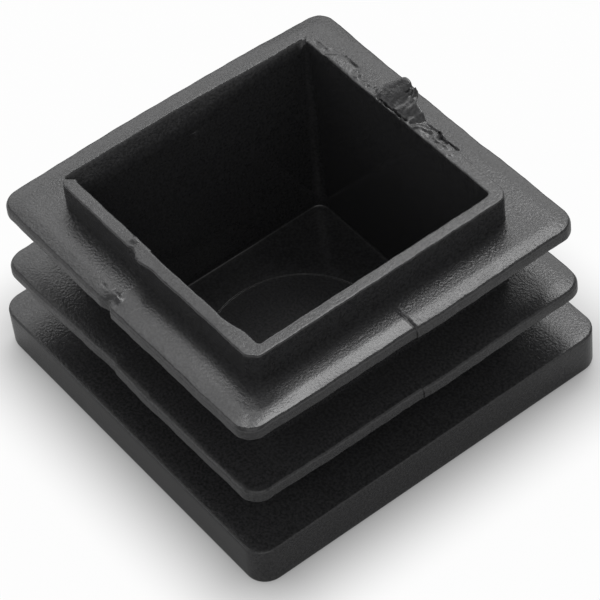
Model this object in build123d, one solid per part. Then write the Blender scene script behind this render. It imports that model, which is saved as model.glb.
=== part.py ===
from build123d import *
import os
from math import radians, tan

# Square tube end cap, one moulding in black polyethylene, in millimetres.
# The origin is the centre of the head's outer face, and +Z runs up the stem.
# The cap lies on its head, with the open end of the stem upwards.

# The tube that the cap closes
tube_width = 25.0
tube_wall = 1.0

# Head, flush with the sides of the tube
head_thickness = 2.85
head_corner = 1.25
head_face_round = 0.3
head_shoulder_round = 0.12

# Outside of the hollow stem, which tapers a little towards its rim
stem_width = 18.05
stem_height = 11.0
stem_corner = 0.85
stem_draft_angle = 0.6
rim_round = 0.12

# Inside of the stem, which narrows towards its floor and has nearly sharp corners at the rim
wall = 0.8
floor_thickness = 0.7
core_draft_angle = 1.6
core_corner_at_rim = 0.2
core_corner_at_floor = 0.75
core_floor_round = 0.45
core_rim_round = 0.1

# Round face of the core pin, pressed a little into the floor and off its centre
core_pin_radius = 5.5
core_pin_step = 0.06
core_pin_x = 0.2
core_pin_y = -0.25

# Two fins that reach past the bore of the tube, and bend as the cap is driven in.
# Each is flat on top as far as its brow, and falls from there to its edge.
# The shares are of the fin's reach past the stem.
upper_fin_below_rim = 1.98
fin_pitch = 4.95
upper_fin_grip = 0.15
lower_fin_grip = 0.36
fin_edge_thickness = 0.8
fin_brow_share = 0.345
fin_brow_fall = 0.18
fin_brow_corner = 0.9
fin_flat_rise = 0.02
fin_under_rise = 0.16
fin_corner = 1.1
fin_edge_round = 0.12
fin_root_share = 0.15

# The mould closes with four slides, which part at y = 0 and at these places along the -Y and +Y sides
front_parting_x = -1.0
back_parting_x = -2.3

# How far the two slides on the +X side stand out of line with the other two, along X and Y
front_slide_shift = (0.0, -0.07)
right_slide_shift = (0.1, -0.1)

# Bevel that the core left along the inside of the rim at the -X side, wider at its -Y end
rim_bevel_at_front = 0.5
rim_bevel_at_back = 0.25

# Lip of torn material where the gate was broken off the wall at the +Y side.
# Each point gives the place along the wall, the reach past the stem and the rise over the rim.
gate_lip = [(-2.1, 0.1, 0.08), (-1.55, 1.05, 0.5), (-0.6, 1.2, 0.38), (0.5, 0.75, 0.14), (1.45, 0.1, 0.06)]
gate_lip_thickness = 0.45
gate_root_depth = 0.55

# Places that follow from those sizes
head_half = tube_width / 2
bore_half = tube_width / 2 - tube_wall
rim_z = head_thickness + stem_height
upper_fin_z = rim_z - upper_fin_below_rim
lower_fin_z = upper_fin_z - fin_pitch
upper_fin_half = bore_half + upper_fin_grip
lower_fin_half = bore_half + lower_fin_grip

# How far a cutting or joining body runs past the face that it meets
overlap = 0.3


def stem_half(z):
    """Half the width of the stem's outside at a height."""
    return stem_width / 2 + (rim_z - z) * tan(radians(stem_draft_angle))


def core_half(z):
    """Half the width of the stem's inside at a height."""
    return stem_width / 2 - wall - (rim_z - z) * tan(radians(core_draft_angle))


def square(half, corner, z):
    """A square with round corners, level at a height."""
    return Pos(0, 0, z) * RectangleRounded(2 * half, 2 * half, corner)


def level_edges(solid, z, reach=tube_width):
    """The edges that lie level at a height, no further out than a reach."""
    level = solid.edges().filter_by_position(Axis.Z, z - 1e-4, z + 1e-4)
    return level.filter_by(lambda edge: max(abs(edge.center().X), abs(edge.center().Y)) < reach)


def make_head():
    """Flat square plate with its outer face softly rounded."""
    plate = extrude(square(head_half, head_corner, 0), head_thickness)
    plate = fillet(level_edges(plate, 0), head_face_round)
    return fillet(level_edges(plate, head_thickness), head_shoulder_round)


def fin_reach(half, z):
    """How far a fin reaches past the stem at a height."""
    return half - stem_half(z)


def fin_stations(half, top_z):
    """The five levels of a fin, from the root of its underside to the root of its top."""
    under_z = top_z - fin_edge_thickness
    root_under_z = under_z - fin_under_rise
    brow_z = top_z + fin_brow_fall
    root_top_z = brow_z + fin_flat_rise
    return [
        square(stem_half(root_under_z), stem_corner, root_under_z),
        square(half, fin_corner, under_z),
        square(half, fin_corner, top_z),
        square(half - fin_brow_share * fin_reach(half, top_z), fin_brow_corner, brow_z),
        square(stem_half(root_top_z), stem_corner, root_top_z),
    ]


def make_outside():
    """Stem and fins as one outline that runs up the stem and out round each fin."""
    foot_z = head_thickness - overlap
    outline = [square(stem_half(foot_z), stem_corner, foot_z)]
    outline += fin_stations(lower_fin_half, lower_fin_z)
    outline += fin_stations(upper_fin_half, upper_fin_z)
    outline += [square(stem_half(rim_z), stem_corner, rim_z)]
    body = loft(outline, ruled=True)
    for half, top_z in ((lower_fin_half, lower_fin_z), (upper_fin_half, upper_fin_z)):
        root_under_z = top_z - fin_edge_thickness - fin_under_rise
        root_blend = fin_root_share * fin_reach(half, top_z)
        body = fillet(level_edges(body, top_z), fin_edge_round)
        body = fillet(level_edges(body, top_z + fin_brow_fall + fin_flat_rise), root_blend)
        body = fillet(level_edges(body, root_under_z), root_blend)
    return fillet(level_edges(body, rim_z), rim_round)


def slide_space(x_low, x_high, y_low, y_high):
    """The space that one slide of the mould shapes, from the head's foot to well over the rim."""
    centre = ((x_low + x_high) / 2, (y_low + y_high) / 2, rim_z / 2)
    return Pos(*centre) * Box(x_high - x_low, y_high - y_low, 2 * rim_z)


def as_moulded(body):
    """The same body as four slides of a mould leave it, two of them a little out of line."""
    reach = tube_width
    left = body & slide_space(-reach, front_parting_x, -reach, 0)
    back = body & slide_space(-reach, back_parting_x, 0, reach)
    front = Pos(*front_slide_shift) * body & slide_space(front_parting_x, reach, -reach, 0)
    right = Pos(*right_slide_shift) * body & slide_space(back_parting_x, reach, 0, reach)
    return left + back + front + right


def make_core():
    """The space inside the stem, which runs down into the head and has a soft edge round its floor."""
    mouth_z = rim_z + overlap
    core = loft([
        square(core_half(floor_thickness), core_corner_at_floor, floor_thickness),
        square(core_half(mouth_z), core_corner_at_rim, mouth_z),
    ])
    core = fillet(level_edges(core, floor_thickness), core_floor_round)
    pin_face = Pos(core_pin_x, core_pin_y, floor_thickness) * Cylinder(core_pin_radius, 2 * core_pin_step)
    return core + pin_face


def make_rim_bevel():
    """Wedge that cuts the bevel along the inside of the rim at the -X side."""
    inner_x = -core_half(rim_z)
    ends = []
    for place, size in ((-core_half(rim_z), rim_bevel_at_front), (core_half(rim_z), rim_bevel_at_back)):
        profile = Polyline(
            (inner_x - size - overlap, rim_z + overlap),
            (inner_x + overlap, rim_z + overlap),
            (inner_x + overlap, rim_z - size - overlap),
            close=True,
        )
        ends.append(Plane.XZ.offset(-place) * make_face(profile))
    return loft(ends, ruled=True)


def make_gate_lip():
    """Torn lip that leans out from the rim over the upper fin, thick at the wall and ragged at its tip."""
    wall_y = stem_half(rim_z)
    sections = []
    for along, reach, rise in gate_lip:
        tip_y = wall_y + reach
        tip_z = rim_z + rise
        profile = Polyline(
            (wall_y - wall / 2, rim_z - gate_root_depth / 2),
            (wall_y - wall / 2, rim_z + rise / 4),
            (tip_y, tip_z),
            (tip_y, tip_z - gate_lip_thickness),
            (wall_y - wall / 2, rim_z - gate_root_depth - gate_lip_thickness),
            close=True,
        )
        sections.append(Pos(along, 0, 0) * (Plane.YZ * make_face(profile)))
    return loft(sections, ruled=True)


def make_end_cap():
    """The whole moulding, as one solid."""
    cap = make_head() + as_moulded(make_outside()) - make_core()
    cap = fillet(level_edges(cap, rim_z, core_half(rim_z) + wall / 2), core_rim_round)
    return cap - make_rim_bevel() + make_gate_lip()


os.makedirs("parts", exist_ok=True)
end_cap = make_end_cap()
export_step(end_cap, "parts/end_cap.step")
print("end_cap", round(end_cap.volume, 1), "mm3", end_cap.bounding_box().size)
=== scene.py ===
# %% [markdown]
# # A black end cap for square tube
# The cap is one moulding in black polyethylene: a flat head, a hollow square stem and two thin fins.
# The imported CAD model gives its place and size. Here it gets the surface that a mould and rough handling
# leave: soft corners, fins that are a little warped, steps where the mould parts, and a torn gate.
# The frame is loaded first, because all that follows takes its place and its names from it.

# %% Load the frame
from math import cos, pi, radians, sin, tan

import bpy
import numpy as np
from mathutils import Matrix, Vector


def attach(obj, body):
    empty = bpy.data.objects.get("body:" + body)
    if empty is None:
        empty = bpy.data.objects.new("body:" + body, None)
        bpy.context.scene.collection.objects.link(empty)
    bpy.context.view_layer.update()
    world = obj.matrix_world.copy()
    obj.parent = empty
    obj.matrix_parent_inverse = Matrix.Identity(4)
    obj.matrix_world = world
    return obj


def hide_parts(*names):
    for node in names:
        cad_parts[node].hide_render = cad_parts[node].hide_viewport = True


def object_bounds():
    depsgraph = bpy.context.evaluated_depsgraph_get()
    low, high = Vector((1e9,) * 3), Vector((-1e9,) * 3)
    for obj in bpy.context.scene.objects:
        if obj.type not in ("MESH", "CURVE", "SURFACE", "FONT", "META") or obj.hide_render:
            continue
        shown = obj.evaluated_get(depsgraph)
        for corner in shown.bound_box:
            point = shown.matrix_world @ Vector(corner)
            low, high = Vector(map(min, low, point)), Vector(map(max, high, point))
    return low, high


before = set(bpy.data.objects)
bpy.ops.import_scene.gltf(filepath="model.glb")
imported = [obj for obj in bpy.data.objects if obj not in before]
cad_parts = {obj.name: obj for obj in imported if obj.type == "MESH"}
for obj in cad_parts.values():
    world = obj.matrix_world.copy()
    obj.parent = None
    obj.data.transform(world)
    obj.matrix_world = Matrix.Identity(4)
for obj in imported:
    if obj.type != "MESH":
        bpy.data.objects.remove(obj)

cad_low, cad_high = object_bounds()
print("CAD box, in metres:", tuple(cad_low), tuple(cad_high))

# %% [markdown]
# ## Sizes
# The head's width comes from the frame. The other sizes are those that the mould gives the cap,
# in millimetres, because that is how a mould maker writes them. They could be turned to metres one by one,
# but one factor, used when the mesh is made, leaves less to get wrong.

# %% Sizes of the moulding
MM = 0.001
HEAD_HALF = (cad_high.x - cad_low.x) / 2 / MM
HEAD_THICK = 2.85
HEAD_CORNER = 1.25
STEM_HALF = 9.025
STEM_CORNER = 0.85
STEM_DRAFT = tan(radians(0.6))
RIM_Z = 13.85
WALL = 0.8
CORE_HALF = STEM_HALF - WALL
CORE_DRAFT = tan(radians(1.6))
FLOOR_Z = 0.7
FIN_TOPS = (6.92, 11.87)
FIN_HALVES = (11.86, 11.65)
FIN_EDGE = 0.8
print("head", 2 * HEAD_HALF, "mm wide, rim at", RIM_Z, "mm")

# %% [markdown]
# ## One outline for the whole cap
# Every level of the cap is a square with round corners, so the surface can be wound from one outline
# that starts under the head, goes out round each fin, over the rim and down to the floor of the stem.
# A stack of boxes would leave seams, and a subdivided cage would soften the crisp rims too much.
# Each corner of the outline holds its zone, its reach from the centre, its height, how far it is rounded,
# the corner radius of the square there and the spacing of the points on the run that leads to it.

# %% Corners of the outline
UNDER, HEAD, STEM, FIN, RIM, CORE, FLOOR = range(7)
FIN_ROOT_DROP = 0.15
FIN_ROOT_RISE = 0.08
BEVEL_FOOT_Z = 12.9
PIN_RADIUS = 5.5
PIN_FACE_Z = FLOOR_Z - 0.06
LAST_REACH = 0.4
LAST_CORNER = 0.04


def stem_half(z):
    """Half the width of the stem's outside at a height."""
    return STEM_HALF + (RIM_Z - z) * STEM_DRAFT


def core_half(z):
    """Half the width of the hollow at a height."""
    return CORE_HALF - (RIM_Z - z) * CORE_DRAFT


def fin_outline(half, top):
    """A fin from the root of its underside, round its thin edge and over its brow to its root on top."""
    under = top - FIN_EDGE
    under_root = under - FIN_ROOT_DROP
    top_root = top + FIN_ROOT_RISE
    return [
        (STEM, stem_half(under_root), under_root, 0.3, STEM_CORNER, 0.7),
        (FIN, half + 0.02, under, 0.12, 1.1, 0.6),
        (FIN, half + 0.02, top - 0.09, 0.15, 1.15, 0.2),
        (FIN, half - 0.08, top + 0.03, 0.06, 1.15, 0.2),
        (FIN, half - 0.42, top + 0.08, 0.12, 1.1, 0.18),
        (FIN, half - 0.85, top + 0.13, 0.2, 1.0, 0.16),
        (FIN, stem_half(top_root), top_root, 0.0, STEM_CORNER, 0.2),
    ]


outline = [
    (UNDER, LAST_REACH, 0.0, 0.0, LAST_CORNER, 1.0),
    (HEAD, HEAD_HALF, 0.0, 0.3, HEAD_CORNER, 3.0),
    (HEAD, HEAD_HALF, HEAD_THICK, 0.13, HEAD_CORNER, 0.4),
    (STEM, stem_half(HEAD_THICK), HEAD_THICK, 0.2, STEM_CORNER, 0.5),
]
for half, top in zip(FIN_HALVES, FIN_TOPS):
    outline += fin_outline(half, top)
outline += [
    (RIM, STEM_HALF, RIM_Z, 0.09, STEM_CORNER, 0.3),
    (RIM, CORE_HALF, RIM_Z, 0.17, 0.2, 0.06),
    (CORE, core_half(BEVEL_FOOT_Z), BEVEL_FOOT_Z, 0.0, 0.25, 0.09),
    (CORE, core_half(FLOOR_Z), FLOOR_Z, 0.16, 0.75, 0.9),
    (FLOOR, PIN_RADIUS + 0.04, FLOOR_Z, 0.02, 0.5, 0.6),
    (FLOOR, PIN_RADIUS, PIN_FACE_Z, 0.02, 0.5, 0.1),
    (FLOOR, LAST_REACH, PIN_FACE_Z, 0.0, LAST_CORNER, 1.3),
]
print(len(outline), "corners in the outline")

# %% [markdown]
# ### Round corners
# Hardly an edge of a moulding is sharp, because a cutter with a round tip made the mould. A bevel modifier
# could round the edges, but it would take one width for all. Here each corner of the outline becomes
# a short curve between two points on its runs. Bezier's formula draws it in one line, and at this size
# it can't be told from an arc.

# %% Round the corners and space the stations
ROUND_STEPS = 4


def spaced(a, b, step):
    """Points from a up to b, evenly spaced and no further apart than a step."""
    count = max(1, int(np.ceil(np.hypot(*(b - a)[:2]) / step)))
    return [a + (b - a) * i / count for i in range(1, count + 1)]


def wind(outline):
    """Stations along the outline, as rows of reach, height and corner radius, each with its zone."""
    points = [np.array([reach, z, corner]) for _, reach, z, _, corner, _ in outline]
    stations, zones = [points[0]], [outline[0][0]]
    for i in range(1, len(points)):
        zone, _, _, rounding, _, step = outline[i]
        end = points[i]
        if rounding and i + 1 < len(points):
            back = (points[i - 1] - end) * rounding / np.hypot(*(points[i - 1] - end)[:2])
            ahead = (points[i + 1] - end) * rounding / np.hypot(*(points[i + 1] - end)[:2])
            run = spaced(stations[-1], end + back, step)
            shares = np.linspace(0, 1, ROUND_STEPS + 1)[1:]
            run += [end + back * (1 - s) ** 2 + ahead * s**2 for s in shares]
        else:
            run = spaced(stations[-1], end, step)
        stations += run
        zones += [zone] * len(run)
    return np.array(stations), np.array(zones)


stations, zones = wind(outline)
print(len(stations), "stations")

# %% [markdown]
# ### Points round a level
# Round the outside of the cap, the points keep the same place along a side at every height, within 6 mm of
# its middle, so a mark that runs up the wall can follow one column of points. Only the ends of a side
# stretch. Even spacing all round would be simpler, but marks would then wander from column to column.
# Where the mould parts, four columns lie close together, and the step between them stays crisp.
# The -Y side has a nick and the +Y side has the torn gate, so their points lie closer than the others'.

# %% Points round a level of the cap
MIDDLE = 6.0
CRISP = (-0.06, -0.02, 0.02, 0.06)
CLEAR_SHARE = 0.3
SMALL_LEVEL_SHARE = 0.8
ARC_STEPS = 9
END_STEPS = 12
FRONT_PARTING_X = -1.0
BACK_PARTING_X = -2.3
SIDES = [
    # outward, the way that its places run, their spacing and the place of the mould's parting
    ((0, -1), (1, 0), 0.11, FRONT_PARTING_X),
    ((1, 0), (0, 1), 0.2, 0.0),
    ((0, 1), (-1, 0), 0.08, -BACK_PARTING_X),
    ((-1, 0), (0, -1), 0.4, 0.0),
]


def places_along(step, parting):
    """Places along the middle of a side, evenly spaced, with four close together at the mould's parting."""
    even = np.arange(-MIDDLE, MIDDLE + 0.01, step)
    free = [p for p in even if abs(p - parting) > CRISP[-1] + CLEAR_SHARE * step]
    return np.array(sorted(free + [parting + e for e in CRISP]))


SIDE_PLACES = [places_along(step, parting) for _, _, step, parting in SIDES]


def ring(reach, corner):
    """Points round a square with round corners, from the -X end of the -Y side, anticlockwise from above."""
    straight = reach - corner
    scale = min(1.0, SMALL_LEVEL_SHARE * straight / MIDDLE)
    ends = np.linspace(0, 1, END_STEPS + 1)[1:]
    turn = np.linspace(0, np.pi / 2, ARC_STEPS + 2)[1:-1]
    points = []
    for (out, along, _, _), middle in zip(SIDES, SIDE_PLACES):
        out, along = np.array(out), np.array(along)
        rise = middle[-1] * scale + (straight - middle[-1] * scale) * ends
        side = np.concatenate([-rise[::-1], middle * scale, rise])
        points += [out * reach + along * a for a in side]
        points += [(out + along) * straight + corner * (out * cos(a) + along * sin(a)) for a in turn]
    return np.array(points)


print([len(places) for places in SIDE_PLACES], "places along the middles of the sides")

# %% [markdown]
# ### The floor of the hollow
# The round end of the mould's core pin left a faint circle in the floor, a little off its centre. It could
# be cut in with a boolean, which leaves long thin faces that shade badly. Here the levels of the floor turn
# from the square of the stem to that circle, so that the faces stay even.

# %% Stack the levels
PIN_CENTRE = np.array((0.2, -0.25))
PIN_ROUND_REACH = 5.6
PIN_SHIFT_REACH = 5.0


def floor_level(level, reach):
    """A level of the floor, square at the foot of the wall and round at the core pin's face."""
    from_wall = core_half(FLOOR_Z) - reach
    roundness = np.clip(from_wall / (core_half(FLOOR_Z) - PIN_ROUND_REACH), 0, 1)
    circle = level / np.linalg.norm(level, axis=1)[:, None] * reach
    circle = circle + PIN_CENTRE * min(1, reach / PIN_SHIFT_REACH)
    return level * (1 - roundness) + circle * roundness


levels = []
for (reach, z, corner), zone in zip(stations, zones):
    level = ring(reach, corner)
    if zone == FLOOR:
        level = floor_level(level, reach)
    levels.append(np.column_stack([level, np.full(len(level), z)]))
points = np.array(levels)
print(points.shape[0], "x", points.shape[1], "points")

# %% [markdown]
# ## What the mould and rough handling did to it
# A perfect part would look like a drawing. The real one was made in a mould with four slides, whose
# steps show on the fins, it warped a little as it cooled, and its rim is bruised. These marks could be
# sculpted by hand, or painted as a bump. Each is a small push on the points here, in millimetres, so that
# it can be read and changed alone, and so that it shows from every side.

# %% Helpers for pushes
# x, y and z are windows on the points, so a push on them moves the points. x0, y0 and z0 stay as drawn
x, y, z = points[..., 0], points[..., 1], points[..., 2]
x0, y0, z0 = x.copy(), y.copy(), z.copy()
zone = np.repeat(zones[:, None], points.shape[1], axis=1)
side_reach = np.maximum(abs(x0), abs(y0))
latest = points.copy()

SIDE_FROM = 8.0
on_front = y0 < -SIDE_FROM
on_right = x0 > SIDE_FROM
on_back = y0 > SIDE_FROM
on_left = x0 < -SIDE_FROM


def ease(value, start, end):
    """0 before start and 1 after end, with a soft change between them."""
    t = np.clip((value - start) / (end - start), 0, 1)
    return t * t * (3 - 2 * t)


def hill(value, centre, width):
    """1 at the centre and nothing beyond the width on either side."""
    return 1 - ease(abs(value - centre), 0, width)


def between(value, low, high, soft):
    """1 between two places and 0 outside them."""
    return ease(value, low - soft, low + soft) * (1 - ease(value, high - soft, high + soft))


def say_push(name):
    """Prints how far the points have moved since it was last called."""
    print(name, "moved points by up to", round(float(abs(points - latest).max()), 2), "mm")
    latest[:] = points


print("largest reach", round(float(side_reach.max()), 2), "mm")

# %% [markdown]
# ### Steps of the mould's slides
# Four slides closed round the cap, one at each corner, and parted at the middle of the +X and -X sides and
# a little off the middle of the other two. They were not quite in line, so the fins have a small step
# where two slides met. Cutting the mesh there would give a seam with a gap. A push that starts between two
# of the close columns gives the same crisp step and keeps the skin whole.

# %% Steps between the four slides of the mould
fin = zone == FIN
outside = (zone == STEM) | fin | (zone == RIM)
past_root = ease(side_reach, 9.1, 9.7)

RIGHT_STEP = 0.08
RIGHT_SWELL = 0.06
right_slide = fin & (y0 > 0) & (x0 > 0)
right_step = RIGHT_STEP + RIGHT_SWELL * ease(y0, 0, 0.8) - RIGHT_STEP * ease(y0, 1, 9)
x[right_slide] += (past_root * right_step)[right_slide]

GROOVE_DEPTH = 0.035
groove = fin & on_right & (abs(y0) < 0.03)
z[groove] -= (GROOVE_DEPTH * past_root)[groove]

FRONT_STEP = 0.07
front_slide = outside & (x0 > FRONT_PARTING_X) & (y0 < 0)
y[front_slide] -= (FRONT_STEP * (1 - ease(x0, 0.5, 4.5)))[front_slide]

BACK_STEP = 0.1
back_slide = fin & (x0 > BACK_PARTING_X) & (y0 > 0)
y[back_slide] -= (past_root * BACK_STEP * (1 - ease(x0, 3.0, 6.0)))[back_slide]
say_push("the steps of the slides")

# %% [markdown]
# ### Warp
# Thin fins cool faster than the stem, so their edges are never quite straight: one corner stands up,
# the one across from it droops, and the sides bow by a tenth of a millimetre. A lattice could bend them
# by eye. A table of pushes does it here, because each line can then be set against what is measured.

# %% Warp of the fins
BETWEEN_FINS_Z = 9
fin_share = ease(side_reach, 9.2, 11.6)
upper = fin & (z0 > BETWEEN_FINS_Z)
lower = fin & (z0 < BETWEEN_FINS_Z)
WARPS = [
    # direction, fin, side, distance in millimetres and how it spreads along the side
    (z, fin, True, 0.16, ease(x0 - y0, 18.0, 22.5)),
    (z, fin, True, -0.18, ease(y0 - x0, 17.5, 22.5)),
    (x, upper, on_left, -0.11, hill(y0, -3, 8)),
    (x, upper, on_left, 0.1, ease(y0, 3, 9)),
    (y, upper, on_back, 0.18, ease(-x0, 6, 11)),
    (y, upper, on_front, 0.07, 1.0),
    (y, lower, on_front, 0.1, hill(x0, -1.2, 3.2)),
    (y, lower, on_front, -0.12, ease(-x0, 4, 9)),
]
for direction, which, side, distance, spread in WARPS:
    direction[which] += (distance * spread * fin_share * side)[which]
say_push("the warp")

# %% [markdown]
# ### The rim
# The core left a soft bevel along the inside of the rim on the -X side, wider at its -Y end. The top of
# the -Y rim slopes down outwards a little, and the wall is swollen into the hollow at the +X end of that
# side. A bevel modifier keeps one width along an edge, so the points of the rim are lowered here, each by
# how far it lies within the bevel.

# %% Bevelled, sloping and swollen rim
# How far across the wall a point lies, from 0 at the hollow to 1 at the outside
across = np.clip((side_reach - CORE_HALF) / WALL, 0, 1)

BEVEL_AT_FRONT = 0.66
BEVEL_LESS_AT_BACK = 0.34
BEVEL_SLOPE = 2.4
BEVEL_SOFTNESS = 0.12
rim_top = (zone == RIM) | ((zone == CORE) & (z0 > 12.5))
bevel = on_left * (BEVEL_AT_FRONT - BEVEL_LESS_AT_BACK * ease(y0, -2, 7)) * (abs(y0) < abs(x0))
bevel_depth = np.maximum(bevel - WALL * across, 0)
drop = BEVEL_SLOPE * bevel_depth**2 / (bevel_depth + BEVEL_SOFTNESS) * ease(z0, 11.6, 13.7)
z[rim_top] -= drop[rim_top]

SLOPE = 0.13
SLOPE_PIVOT = 0.4
sloping = on_front * (across - SLOPE_PIVOT) * WALL * (1 - ease(x0, 4.8, 6.4)) * ease(x0, -6.0, 0.0)
z[zone == RIM] -= (SLOPE * sloping)[zone == RIM]

SWELL = 0.32
inner = (zone == CORE) | (zone == RIM)
swell = ease(x0, 5.2, 7.4) * (1 - across) * ease(z0, 9.5, 13.0) * ease(-y0, 6.5, 7.9)
y[inner] += (SWELL * swell)[inner]
say_push("the shape of the rim")

# %% [markdown]
# ### Nick
# Opposite the gate, the two streams of melt met again, at the parting of the mould. They did not quite
# fill the edge of the upper fin, which has a small notch there and a few soft lumps behind it. A boolean
# would cut a notch with hard edges. A push makes one that has the rounded look of plastic that ran short.

# %% Nick in the upper fin
NICK_X = -0.95
NICK_DEPTH = 0.24
NICK_LUMPS = [
    # place, size and height of each lump or pit, in millimetres
    (-1.02, -10.95, 0.55, 0.42, 0.09),
    (-1.7, -10.95, 0.5, 0.36, 0.04),
    (-0.5, -11.2, 0.5, 0.4, -0.03),
    (-1.25, -11.5, 0.4, 0.3, -0.06),
    (-2.1, -10.95, 0.6, 0.16, -0.05),
]
near_nick = upper & (y0 < -9.3)
nick = hill(x0, NICK_X, 0.9) * (x0 < NICK_X) + hill(x0, NICK_X, 0.35) * (x0 >= NICK_X)
y[near_nick] += (NICK_DEPTH * nick * ease(-y0, 10.6, 11.6))[near_nick]
for px, py, wide, deep, high in NICK_LUMPS:
    z[near_nick] += (high * hill(x0, px, wide) * hill(y0, py, deep))[near_nick]
say_push("the nick")

# %% [markdown]
# ### Burr
# Above the nick, the outer edge of the rim has a burr at the parting and a dent beside it, and a fleck of
# plastic stands up on the rim's inner half. They are under a fifth of a millimetre, but they break the
# long straight edge, which is what the eye looks along. Loose bits of mesh would look stuck on,
# so these are pushes too, with a soft start and a soft end.

# %% Burr, dent and fleck on the -Y rim
BURR = 0.17
DENT = 0.12
FLECK = 0.08
FLECK_X = -2.6
RIM_FOOT_Z = 12.6
rim_front = ((zone == RIM) | ((zone == STEM) & (z0 > RIM_FOOT_Z))) & on_front
burr = BURR * ease(x0, -1.55, -1.2) * (1 - ease(x0, -0.9, 0.1)) - DENT * hill(x0, -1.9, 0.4)
y[rim_front] -= (burr * ease(z0, 12.7, 13.7) * (across > 0.45))[rim_front]
past_fleck = x0 - FLECK_X
fleck = ease(past_fleck, 0, 0.25) * (1 - ease(past_fleck, 0.25, 0.9)) * (1 - ease(across, 0.25, 0.85))
z[rim_front] += (FLECK * fleck)[rim_front]
say_push("the burr")

# %% [markdown]
# ### The torn gate
# The melt came in at the top of the +Y wall. When the sprue was pulled away, the outer part of the wall
# peeled outwards in a leaf, smooth at its -X end and crumpled after it, and left a thin strip standing
# along the hollow. A separate torn piece would show where it sinks into the wall. All of it is made from
# the wall's own points, so it stays joined as the real one is.

# %% Shape of the leaf
LEAF = np.array([
    # place along the wall, reach past the stem and rise over the rim
    (-1.95, 0.0, 0.0),
    (-1.9, 0.62, 0.34),
    (-1.75, 1.02, 0.58),
    (-1.45, 1.22, 0.74),
    (-1.1, 1.22, 0.74),
    (-0.75, 1.12, 0.68),
    (-0.25, 1.04, 0.6),
    (0.05, 0.86, 0.54),
    (0.35, 0.6, 0.46),
    (0.8, 0.44, 0.4),
    (1.25, 0.32, 0.32),
    (1.45, 0.24, 0.0),
    (2.4, 0.22, 0.0),
    (2.7, 0.36, 0.0),
    (3.4, 0.2, 0.0),
    (4.4, 0.22, 0.0),
    (4.95, 0.0, 0.0),
])
KINK_REACH = 0.2
KINK_STEP = 0.02


def softened(values):
    """The leaf's reach or rise along the wall, with its kinks rounded off."""
    places = np.arange(-4, 7, KINK_STEP)
    weights = hill(np.arange(-KINK_REACH, KINK_REACH + 0.001, KINK_STEP), 0, KINK_REACH)
    return places, np.convolve(np.interp(places, LEAF[:, 0], values), weights / weights.sum(), "same")


leaf_reach = np.interp(x0, *softened(LEAF[:, 1]))
leaf_rise = np.interp(x0, *softened(LEAF[:, 2]))
print("the leaf reaches out up to", round(float(leaf_reach.max()), 2), "mm")

# %% [markdown]
# ### Crumples
# Torn polyethylene is lumpy, with folds that no formula describes. A noise texture as displacement would
# spread over the whole rim, so small lumps and pits are scattered over a chosen patch instead, and one
# crease is drawn as a line. The places are random but seeded, so they come out the same at every run.

# %% Helpers for scattered lumps and drawn lines
rng = np.random.default_rng(7)


def off_path(px, py, path):
    """How far points lie, in plan, from a line of straight runs."""
    nearest = np.full(px.shape, 99.0)
    for a, b in zip(np.array(path[:-1]), np.array(path[1:])):
        run = b - a
        t = np.clip(((px - a[0]) * run[0] + (py - a[1]) * run[1]) / (run @ run), 0, 1)
        nearest = np.minimum(nearest, np.hypot(px - a[0] - t * run[0], py - a[1] - t * run[1]))
    return nearest


def lumps(px, py, box, count, size, height):
    """Sum of small lumps and pits scattered over a box, the same at every run."""
    total = np.zeros(px.shape)
    for _ in range(count):
        cx, cy = rng.uniform(box[0], box[1]), rng.uniform(box[2], box[3])
        wide, high = size * rng.uniform(0.6, 1.4), height * rng.uniform(-1, 1)
        total += high * hill(np.hypot(px - cx, py - cy), 0, wide)
    return total


# The wall splits at this share of its thickness from the hollow, and the leaf is what lies outside that
LEAF_ROOT = 0.34
LEAF_WIDTH = 2.2
# How far over the leaf a point lies, from 0 at its root to 1 at its tip
over = np.clip((across - LEAF_ROOT) / (1 - LEAF_ROOT), 0, 1)
crumpled = ease(x0, -0.8, -0.55) * (1 - ease(x0, 0.1, 0.45)) * ease(over, 0.62, 0.8)
crumple = lumps(x0, LEAF_WIDTH * over, (-0.8, 0.5, 1.2, 2.3), count=60, size=0.3, height=0.26) * crumpled
CREASE_DEPTH = 0.2
CREASE = [(-0.8, 2.2), (-0.64, 1.5)]
crease = CREASE_DEPTH * hill(off_path(x0, LEAF_WIDTH * over, CREASE), 0, 0.13)
print("the crumples rise up to", round(float(crumple.max()), 2), "mm")

# %% [markdown]
# ### Peeling
# The points of the wall's outer part move out and up by the leaf's reach and rise, and the skin between
# the leaf and the strip sinks into a gap. A real cut there would open the mesh, and this keeps it closed.
# The edge of the hollow is first made crisp, because plastic that tears leaves a sharp edge.

# %% Peel the leaf out of the wall
CRISP_SHARE = 0.3
BULGE = 0.34
GAP_DEPTH = 0.3
wall_top = ((zone == RIM) | ((zone == STEM) & (z0 > RIM_FOOT_Z))) & on_back
peel = ease(z0, 13.0, RIM_Z)
crisp = (zone == RIM) & on_back & (across < 0.3)
z[crisp] = RIM_Z - CRISP_SHARE * (RIM_Z - z[crisp])
bulge = BULGE * hill(over, 0.5, 0.5) * hill(x0, -1.8, 0.9) * peel
x[wall_top] -= bulge[wall_top]
y[wall_top] += (peel * over * leaf_reach)[wall_top]
z[wall_top] += (peel * (over * leaf_rise + crumple - crease * (leaf_rise > 0)))[wall_top]
along_leaf = between(x0, -1.75, 0.75, 0.12)
gap = hill(across, 0.22, 0.13) * along_leaf
strip = lumps(x0, across, (-1.9, 1.0, 0.0, 0.2), count=40, size=0.16, height=0.1)
strip = strip * along_leaf * (1 - ease(across, 0.1, 0.2))
z[wall_top] += (strip - GAP_DEPTH * gap)[wall_top]
say_push("the torn gate")

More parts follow.
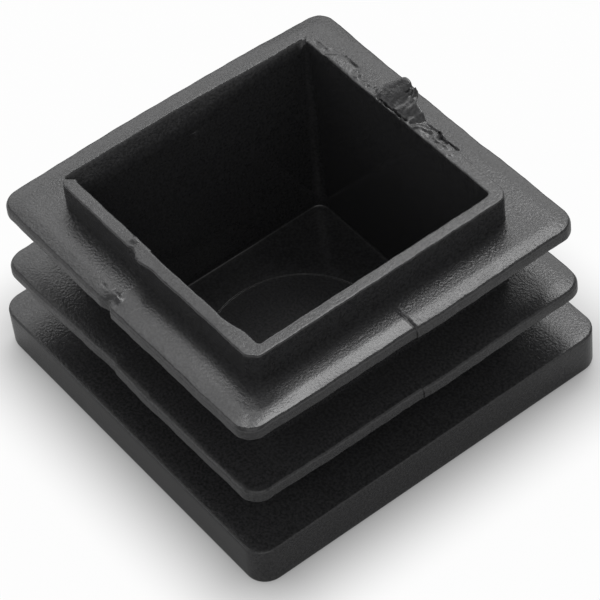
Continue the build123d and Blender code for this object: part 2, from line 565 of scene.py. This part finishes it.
# %% [markdown]
# ### Slits
# The tear ran on along the +Y rim as thin slits with ridges beside them. Each is drawn as a line on top of
# the rim, and the points near that line sink or rise. They could be painted dark, but a real groove also
# catches light on its far side, and that is what makes it look cut.

# %% Slits and ridges on the +Y rim
SLITS = [
    # a line along the rim, how far it reaches to each side and its depth
    ([(1.75, 8.9), (2.3, 8.93), (2.6, 8.95)], 0.09, 0.1),
    ([(2.55, 8.97), (2.85, 8.9), (3.1, 8.84), (3.35, 8.86)], 0.07, 0.24),
    ([(3.35, 8.86), (3.7, 8.93), (4.1, 8.93), (4.5, 8.97)], 0.05, 0.14),
    ([(-5.6, 8.98), (-5.1, 8.92), (-4.5, 8.93)], 0.08, 0.1),
]
RIDGES = [
    # a line along the rim, how far it reaches to each side and its height
    ([(2.3, 8.8), (2.6, 8.75), (2.75, 8.65), (3.2, 8.6), (3.8, 8.72)], 0.12, 0.07),
    ([(1.5, 8.6), (1.95, 8.7), (2.2, 8.72)], 0.14, 0.05),
]
rim_back = (zone == RIM) & on_back
plan = CORE_HALF + WALL * across
for line, wide, deep in SLITS:
    z[rim_back] -= (deep * hill(off_path(x0, plan, line), 0, wide))[rim_back]
for line, wide, high in RIDGES:
    z[rim_back] += (high * hill(off_path(x0, plan, line), 0, wide))[rim_back]
say_push("the slits and ridges")

# %% [markdown]
# ### Scuffs
# Nearly all of that rim is scuffed, and by its -X end the skin was rubbed up into a long wedge, which
# faces +X and so looks lighter. Scratches in a roughness texture would change its gloss but not its
# outline, and from this side the outline shows, so these are small pushes as well.

# %% Wedge and scuffs on the same rim
WEDGE_HEIGHT = 0.14
WEDGE_LENGTH = 1.9
WALL_BULGE = 0.2
from_end = x0 + 6.25 - 0.9 * (plan - 8.6)
wedge = ease(from_end, 0, 0.12) * np.clip(1 - from_end / WEDGE_LENGTH, 0, 1)
wedge = wedge * (1 - ease(across, 0.55, 0.95))
z[rim_back] += (WEDGE_HEIGHT * wedge)[rim_back]
y[wall_top] += (WALL_BULGE * peel * over * between(x0, -5.9, -4.2, 0.2))[wall_top]

SCUFF_BOX = (-8.0, 5.0, 8.3, 9.0)
LESS_ON_WEDGE = 0.8
scuffed = between(x0, -8.0, 5.0, 0.5) * ease(across, 0.05, 0.3) * (1 - ease(across, 0.85, 1.0))
off_wedge = 1 - LESS_ON_WEDGE * between(x0, -6.4, -4.4, 0.2)
scuffs = lumps(x0, plan, SCUFF_BOX, count=300, size=0.24, height=0.045) * scuffed * off_wedge
z[rim_back] += scuffs[rim_back]
say_push("the scuffs")

# %% [markdown]
# ### Unevenness
# Even where nothing hit it, a moulded edge is not quite straight. A noise texture would do, but three
# sine waves of different lengths are as good for so little, and they move the fins and the rim alike.

# %% Small unevenness of every rim
WAVES = [
    # height in millimetres, radians per millimetre and phase
    (0.012, 2.3, 0.4),
    (0.006, 5.9, 1.9),
    (0.002, 13.7, 3.0),
]
WAVE_SLANT = 1.3
wave = sum(a * np.sin((x0 + WAVE_SLANT * y0) * f + p) for a, f, p in WAVES)
edges = (zone == FIN) | (zone == RIM)
grow = 1 + wave / side_reach.clip(1)
x[edges] *= grow[edges]
y[edges] *= grow[edges]
say_push("the unevenness")

# %% [markdown]
# ## The mesh
# The rows of points are wound into four-sided faces, and a fan closes each end. Bridging edge loops gives
# the same faces, but one loop at a time. Edges sharper than 50 degrees, such as some of those in the torn
# gate, shade as edges, and all others shade smoothly.
# The piece stands for the CAD model's cap and rides on its body.

# %% Make the mesh
SHARP_DEGREES = 50


def skin(points):
    """Vertices and faces of the wound surface, closed by a fan at each end."""
    rows, columns = points.shape[:2]
    at = np.arange(rows * columns).reshape(rows, columns)
    after = np.roll(at, -1, axis=1)
    quads = np.stack([at[:-1], after[:-1], after[1:], at[1:]], axis=-1).reshape(-1, 4)
    ends = [points[0].mean(axis=0), points[-1].mean(axis=0)]
    vertices = np.vstack([points.reshape(-1, 3), ends])
    first, last = rows * columns, rows * columns + 1
    fans = [(first, int(after[0][i]), int(at[0][i])) for i in range(columns)]
    fans += [(last, int(at[-1][i]), int(after[-1][i])) for i in range(columns)]
    return vertices, quads.tolist() + fans


vertices, faces = skin(points)
cap_mesh = bpy.data.meshes.new("moulded_cap")
cap_mesh.from_pydata((vertices * MM).tolist(), [], faces)
cap_mesh.shade_smooth()
cap_mesh.set_sharp_from_angle(angle=radians(SHARP_DEGREES))
cap = bpy.data.objects.new("moulded_cap", cap_mesh)
bpy.context.scene.collection.objects.link(cap)
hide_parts("end_cap")
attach(cap, "root")
print(cap.name, len(cap_mesh.vertices), "vertices,", len(cap_mesh.polygons), "faces")

# %% [markdown]
# ## Materials
# A material is a small tree of nodes. Blender's editor draws such a tree, but in a script one function
# that adds a node with its settings and links keeps each node to a line or two. Colours are written as
# the hex values that a colour picker shows, and one function turns them to the linear values of a socket.

# %% Node helper and colours
def linear(hex_colour):
    """An sRGB hex colour as the linear values that Blender's sockets take."""
    values = [int(hex_colour[i:i + 2], 16) / 255 for i in (1, 3, 5)]
    return [v / 12.92 if v <= 0.04045 else ((v + 0.055) / 1.055) ** 2.4 for v in values] + [1.0]


def add_node(tree, kind, settings=None, **inputs):
    """Adds a node, with its settings, its input values and its links from other nodes' outputs.

    An input is given by its name, or as _0, _1 and so on by its number where names repeat. A Mix node's
    factor is _0, the numbers that it mixes are _2 and _3, and the colours are _6 and _7.
    """
    node = tree.nodes.new(kind)
    for name, value in (settings or {}).items():
        setattr(node, name, value)
    for name, value in inputs.items():
        numbered = name[1:].isdigit()
        socket = node.inputs[int(name[1:])] if numbered else node.inputs[name.replace("_", " ")]
        if isinstance(value, bpy.types.NodeSocket):
            tree.links.new(value, socket)
        else:
            socket.default_value = value
    return node


def new_material(name):
    """An empty node material and its tree."""
    material = bpy.data.materials.new(name)
    material.use_nodes = True
    material.node_tree.nodes.clear()
    return material, material.node_tree


print("mid grey is", round(linear("#808080")[0], 3), "as a linear value")

# %% [markdown]
# ## Black polyethylene
# The plastic is polyethylene coloured with carbon black, straight from a mould. Its own colour is nearly
# black, so almost all that the eye sees is the soft gloss of its skin. One flat roughness would make it
# look like rubber. The real skin changes from place to place with the steel that it cooled against:
# the slides on the -X side were spark-eroded and left a pebbled grain, the one at the +X and -Y corner was
# nearly smooth, the one at the +X and +Y corner and the head's half of the mould lie between them, and
# the polished core left the hollow the glossiest.

# %% Where each kind of skin lies
plastic, tree = new_material("moulded_black_polyethylene")
place = add_node(tree, "ShaderNodeTexCoord").outputs["Object"]
sides = add_node(tree, "ShaderNodeSeparateXYZ", Vector=place)

# 1 where the smoothest slide was, 0.5 at the one behind it and 0 at the two on the -X side
right_of = add_node(
    tree, "ShaderNodeMapRange", Value=sides.outputs["X"],
    From_Min=(FRONT_PARTING_X - 0.05) * MM, From_Max=(FRONT_PARTING_X + 0.05) * MM,
)
front_of = add_node(
    tree, "ShaderNodeMapRange", Value=sides.outputs["Y"],
    From_Min=0.05 * MM, From_Max=-0.05 * MM, To_Min=0.5,
)
right_skin = add_node(
    tree, "ShaderNodeMath", {"operation": "MULTIPLY"},
    _0=right_of.outputs["Result"], _1=front_of.outputs["Result"],
)

# The head is alike all round
over_head = add_node(
    tree, "ShaderNodeMapRange", Value=sides.outputs["Z"],
    From_Min=(HEAD_THICK + 0.05) * MM, From_Max=(HEAD_THICK + 0.15) * MM,
)
smooth_skin = add_node(
    tree, "ShaderNodeMix",
    _0=over_head.outputs["Result"], _2=0.5, _3=right_skin.outputs["Value"],
)

# 1 in the hollow, from just below the rim
HOLLOW_TOP, HOLLOW_FULL = 13.7 * MM, 13.4 * MM
HOLLOW_EDGE, HOLLOW_INSIDE = 8.5 * MM, 8.3 * MM
below_rim = add_node(
    tree, "ShaderNodeMapRange", Value=sides.outputs["Z"], From_Min=HOLLOW_TOP, From_Max=HOLLOW_FULL,
)
side_x = add_node(tree, "ShaderNodeMath", {"operation": "ABSOLUTE"}, _0=sides.outputs["X"])
side_y = add_node(tree, "ShaderNodeMath", {"operation": "ABSOLUTE"}, _0=sides.outputs["Y"])
off_axis = add_node(
    tree, "ShaderNodeMath", {"operation": "MAXIMUM"},
    _0=side_x.outputs["Value"], _1=side_y.outputs["Value"],
)
within = add_node(
    tree, "ShaderNodeMapRange", Value=off_axis.outputs["Value"],
    From_Min=HOLLOW_EDGE, From_Max=HOLLOW_INSIDE,
)
hollow_skin = add_node(
    tree, "ShaderNodeMath", {"operation": "MULTIPLY"},
    _0=below_rim.outputs["Result"], _1=within.outputs["Result"],
)
print(len(tree.nodes), "nodes say where each kind of skin lies")

# %% [markdown]
# ### Gloss and grain
# Moulded polyethylene has a typical roughness of 0.2 to 0.4, and the lower end matches this cap. Faint
# clouds of gloss, a millimetre or two across, come from how the melt flowed.
# Spark erosion leaves pits of about 0.05 mm, less than the camera can tell apart at this size, so the grain
# is drawn at 0.16 mm, as coarse as it needs to show. It is bump and not displacement, because its depth is
# too small for its outline ever to be seen.

# %% Gloss and grain
ERODED_ROUGHNESS, SMOOTH_ROUGHNESS, CORE_ROUGHNESS = 0.26, 0.2, 0.14
ERODED_GRAIN, SMOOTH_GRAIN, CORE_GRAIN = 1.0, 0.4, 0.15
GRAIN = 0.16 * MM
GRAIN_DEPTH = 0.03 * MM
CLOUD = 1.6 * MM
CLOUD_GLOSS = 0.02

grain = add_node(tree, "ShaderNodeTexNoise", Vector=place, Scale=1 / GRAIN, Detail=2.0, Roughness=0.6)
cloud = add_node(tree, "ShaderNodeTexNoise", Vector=place, Scale=1 / CLOUD, Detail=3.0)
slide_roughness = add_node(
    tree, "ShaderNodeMapRange", Value=smooth_skin.outputs["Result"],
    To_Min=ERODED_ROUGHNESS, To_Max=SMOOTH_ROUGHNESS,
)
gloss = add_node(
    tree, "ShaderNodeMapRange", Value=cloud.outputs["Fac"],
    From_Min=0.3, From_Max=0.7, To_Min=-CLOUD_GLOSS, To_Max=CLOUD_GLOSS,
)
clouded_roughness = add_node(
    tree, "ShaderNodeMath", {"operation": "ADD"},
    _0=slide_roughness.outputs["Result"], _1=gloss.outputs["Result"],
)
roughness = add_node(
    tree, "ShaderNodeMix", _0=hollow_skin.outputs["Value"],
    _2=clouded_roughness.outputs["Value"], _3=CORE_ROUGHNESS,
)
slide_grain = add_node(
    tree, "ShaderNodeMapRange", Value=smooth_skin.outputs["Result"],
    To_Min=ERODED_GRAIN, To_Max=SMOOTH_GRAIN,
)
grain_strength = add_node(
    tree, "ShaderNodeMix", _0=hollow_skin.outputs["Value"],
    _2=slide_grain.outputs["Result"], _3=CORE_GRAIN,
)
bump = add_node(
    tree, "ShaderNodeBump", Height=grain.outputs["Fac"],
    Strength=grain_strength.outputs["Result"], Distance=GRAIN_DEPTH,
)
print("grain of", round(GRAIN / MM, 2), "mm, roughness", CORE_ROUGHNESS, "to", ERODED_ROUGHNESS)

# %% [markdown]
# ### Colour and shader
# Carbon black takes nearly all light. The tops of the grain are a little paler, from handling and from
# the dust that they hold, and a little less pale in the hollow. The index of refraction is
# that of polyethylene. It is set on the shader's own socket, so that an exported model keeps it.

# %% Colour and shader
PE_IOR = 1.51
BLACK = "#282829"
DUSTY = "#3a3a3b"
SPECKS_LEFT_IN_HOLLOW = 0.8

# The pale specks are cut to this share in the hollow, which leaves the hollow a little darker
speck_share_by_place = add_node(
    tree, "ShaderNodeMapRange", Value=hollow_skin.outputs["Value"], To_Min=1.0, To_Max=SPECKS_LEFT_IN_HOLLOW,
)
speck = add_node(tree, "ShaderNodeMapRange", Value=grain.outputs["Fac"], From_Min=0.35, From_Max=0.65)
dust = add_node(
    tree, "ShaderNodeMath", {"operation": "MULTIPLY"},
    _0=speck.outputs["Result"], _1=speck_share_by_place.outputs["Result"],
)
colour = add_node(
    tree, "ShaderNodeMix", {"data_type": "RGBA"},
    _0=dust.outputs["Value"], _6=linear(BLACK), _7=linear(DUSTY),
)
shader = add_node(
    tree, "ShaderNodeBsdfPrincipled", Base_Color=colour.outputs["Result"], IOR=PE_IOR,
    Roughness=roughness.outputs["Result"], Normal=bump.outputs["Normal"],
)
add_node(tree, "ShaderNodeOutputMaterial", Surface=shader.outputs["BSDF"])
cap_mesh.materials.append(plastic)
print(plastic.name, "has", len(tree.nodes), "nodes")

# %% [markdown]
# ## Floor
# The cap lies on a sheet of light grey paper that is painted to glow white away from the cap. One plain face
# is enough for it.
# It lies a hair below the head, because two faces at one height would flicker. It is only a stage
# and isn't part of the cap.

# %% Floor
FLOOR_REACH = 1.5
FLOOR_GAP = 0.02 * MM
CORNERS = ((-1, -1), (1, -1), (1, 1), (-1, 1))
floor_mesh = bpy.data.meshes.new("floor")
floor_mesh.from_pydata([(FLOOR_REACH * cx, FLOOR_REACH * cy, 0) for cx, cy in CORNERS], [], [(0, 1, 2, 3)])
floor = bpy.data.objects.new("floor", floor_mesh)
bpy.context.scene.collection.objects.link(floor)
floor.location.z = cad_low.z - FLOOR_GAP
print(floor.name, 2 * FLOOR_REACH, "m wide")

# %% [markdown]
# ### Grey paper with a painted white glow
# More light would make the paper white, but it would also wash out the black plastic. So the paper is
# a plain light grey that takes the cap's shadow, and away from the cap it has a painted white glow that the
# camera sees.
# Gloss sees that painted glow too, but only from further off, so that the plastic's sides don't shine more
# than paper would make them. How far a place is from the cap is measured from a square a little smaller than
# the head, and round its corners, so that no crease shows in the white.

# %% Paper with a painted white glow away from the cap
PAPER = "#bdbdbd"
WHITE = "#ffffff"
SHADE_HALF = (HEAD_HALF - 2.5) * MM
WHITE_AT = 8 * MM
WHITE_SHARE = 0.97
GLOSS_FROM, GLOSS_AT = 14.5 * MM, 42.5 * MM
GLOSS_SHARE = 0.85

paper, tree = new_material("grey_paper_with_painted_glow")
matt = add_node(tree, "ShaderNodeBsdfDiffuse", Color=linear(PAPER))
glow = add_node(tree, "ShaderNodeEmission", Color=linear(WHITE), Strength=1.0)
spot = add_node(tree, "ShaderNodeTexCoord").outputs["Object"]
off_centre = add_node(tree, "ShaderNodeVectorMath", {"operation": "ABSOLUTE"}, _0=spot)
past_shade = add_node(
    tree, "ShaderNodeVectorMath", {"operation": "SUBTRACT"},
    _0=off_centre.outputs["Vector"], _1=(SHADE_HALF, SHADE_HALF, 0),
)
outward = add_node(
    tree, "ShaderNodeVectorMath", {"operation": "MAXIMUM"},
    _0=past_shade.outputs["Vector"], _1=(0, 0, 0),
)
away = add_node(tree, "ShaderNodeVectorMath", {"operation": "LENGTH"}, _0=outward.outputs["Vector"])
# Painted glow: the camera sees the paper turn white from the shaded square outwards, and gloss sees it only
# from further off
clear = add_node(
    tree, "ShaderNodeMapRange", {"interpolation_type": "SMOOTHSTEP"}, Value=away.outputs["Value"],
    From_Min=0.0, From_Max=WHITE_AT, To_Min=0.0, To_Max=WHITE_SHARE,
)
clear_far = add_node(
    tree, "ShaderNodeMapRange", {"interpolation_type": "SMOOTHSTEP"}, Value=away.outputs["Value"],
    From_Min=GLOSS_FROM, From_Max=GLOSS_AT, To_Min=0.0, To_Max=GLOSS_SHARE,
)
rays = add_node(tree, "ShaderNodeLightPath").outputs
mirrored = add_node(
    tree, "ShaderNodeMath", {"operation": "MAXIMUM"},
    _0=rays["Is Glossy Ray"], _1=rays["Is Transmission Ray"],
)
seen_share = add_node(
    tree, "ShaderNodeMath", {"operation": "MULTIPLY"},
    _0=rays["Is Camera Ray"], _1=clear.outputs["Result"],
)
mirrored_share = add_node(
    tree, "ShaderNodeMath", {"operation": "MULTIPLY"},
    _0=mirrored.outputs["Value"], _1=clear_far.outputs["Result"],
)
share = add_node(
    tree, "ShaderNodeMath", {"operation": "MAXIMUM"},
    _0=seen_share.outputs["Value"], _1=mirrored_share.outputs["Value"],
)
mix = add_node(
    tree, "ShaderNodeMixShader",
    _0=share.outputs["Value"], _1=matt.outputs["BSDF"], _2=glow.outputs["Emission"],
)
add_node(tree, "ShaderNodeOutputMaterial", Surface=mix.outputs["Shader"])
floor_mesh.materials.append(paper)
print(paper.name, "has", len(tree.nodes), "nodes")

# %% [markdown]
# ## Light
# Black plastic shows its form only by what it mirrors. Where no lamp is mirrored, it mirrors the room,
# so the room is a dim and even world. An image of a studio could light it too, but it would be read from
# a file and tell less about why a face is light or dark. The camera sees that world as plain white.

# %% World
ROOM = 0.3
world = bpy.data.worlds.new("studio")
bpy.context.scene.world = world
world.use_nodes = True
tree = world.node_tree
tree.nodes.clear()
dim = add_node(tree, "ShaderNodeBackground", Color=linear(WHITE), Strength=ROOM)
white = add_node(tree, "ShaderNodeBackground", Color=linear(WHITE), Strength=1.0)
sky = add_node(
    tree, "ShaderNodeMixShader", _0=add_node(tree, "ShaderNodeLightPath").outputs["Is Camera Ray"],
    _1=dim.outputs["Background"], _2=white.outputs["Background"],
)
add_node(tree, "ShaderNodeOutputWorld", Surface=sky.outputs["Shader"])
print(world.name, "has", len(tree.nodes), "nodes")

# %% [markdown]
# ### Lamps
# The lamps are large soft panels. Half of them, and the brightest, stand behind the cap, where the tops of
# the fins and the rim mirror them towards the camera. The walls that face the camera mirror the room
# instead, and stay dark. A single lamp from the front would make all of it flat. Each lamp is placed by its
# bearing and elevation from the cap, as a photographer would walk round a table.

# %% Lamps
CAMERA_AZIMUTH = radians(57.044)
LAMP_DISTANCE = 0.4
LAMPS = {
    # elevation, bearing from behind towards the right, width and height in metres, brightness
    "back_low": (31, 4, 0.58, 0.15, 1.8),
    "back_high": (48, 2, 0.5, 0.15, 1.05),
    "back_left": (62, -22, 0.12, 0.1, 2.0),
    "key": (61, 23, 0.16, 0.11, 7.0),
    "left_side": (38, -78, 0.35, 0.3, 0.15),
    "left_low": (19, -84, 0.4, 0.14, 0.9),
    "right_side": (45, 108, 0.35, 0.3, 0.25),
    "front_fill": (40, 185, 0.4, 0.4, 0.6),
}
toward_back = np.array([-sin(CAMERA_AZIMUTH), cos(CAMERA_AZIMUTH), 0])
toward_right = np.array([cos(CAMERA_AZIMUTH), sin(CAMERA_AZIMUTH), 0])
for name, (elevation, bearing, width, height, brightness) in LAMPS.items():
    lamp = bpy.data.lights.new(name, "AREA")
    lamp.shape = "RECTANGLE"
    lamp.size = width
    lamp.size_y = height
    lamp.energy = brightness * pi * width * height
    e, b = radians(elevation), radians(bearing)
    direction = (cos(b) * toward_back + sin(b) * toward_right) * cos(e) + np.array([0, 0, sin(e)])
    light = bpy.data.objects.new(name, lamp)
    light.location = direction * LAMP_DISTANCE
    light.rotation_mode = "QUATERNION"
    light.rotation_quaternion = Vector(direction).to_track_quat("Z", "Y")
    bpy.context.scene.collection.objects.link(light)
print(len(LAMPS), "lamps at", LAMP_DISTANCE, "m")

# %% [markdown]
# ## Camera
# The camera looks down at the cap at 48 degrees through a long lens, which keeps its sides nearly parallel.
# A Track To constraint would keep the camera level. This one has a small roll as well, so its three axes
# are worked out from its bearing, its elevation and that roll. The colours are shown as they are written,
# so the view transform is the standard one.

# %% Camera
CAMERA_ELEVATION = radians(48.517)
CAMERA_ROLL = radians(-6.832)
CAMERA_PLACE = (0.100612, -0.064873, 0.139611)
CAMERA_LENS = 187.302
a, e, t = CAMERA_AZIMUTH, CAMERA_ELEVATION, CAMERA_ROLL
back = np.array([sin(a) * cos(e), -cos(a) * cos(e), sin(e)])
right = np.array([cos(a), sin(a), 0])
up = np.cross(back, right)
turned_right = cos(t) * right + sin(t) * up
turned_up = -sin(t) * right + cos(t) * up
camera_data = bpy.data.cameras.new("camera")
camera_data.sensor_width = 36
camera_data.lens = CAMERA_LENS
camera_data.clip_start = 0.01
camera_data.clip_end = 10
camera = bpy.data.objects.new("camera", camera_data)
bpy.context.scene.collection.objects.link(camera)
frame_of_camera = Matrix.Identity(4)
for row in range(3):
    frame_of_camera[row][0] = turned_right[row]
    frame_of_camera[row][1] = turned_up[row]
    frame_of_camera[row][2] = back[row]
    frame_of_camera[row][3] = CAMERA_PLACE[row]
camera.matrix_world = frame_of_camera
bpy.context.scene.camera = camera
bpy.context.scene.view_settings.view_transform = "Standard"
print("camera", round(float(np.linalg.norm(CAMERA_PLACE)), 3), "m away, lens of", CAMERA_LENS, "mm")
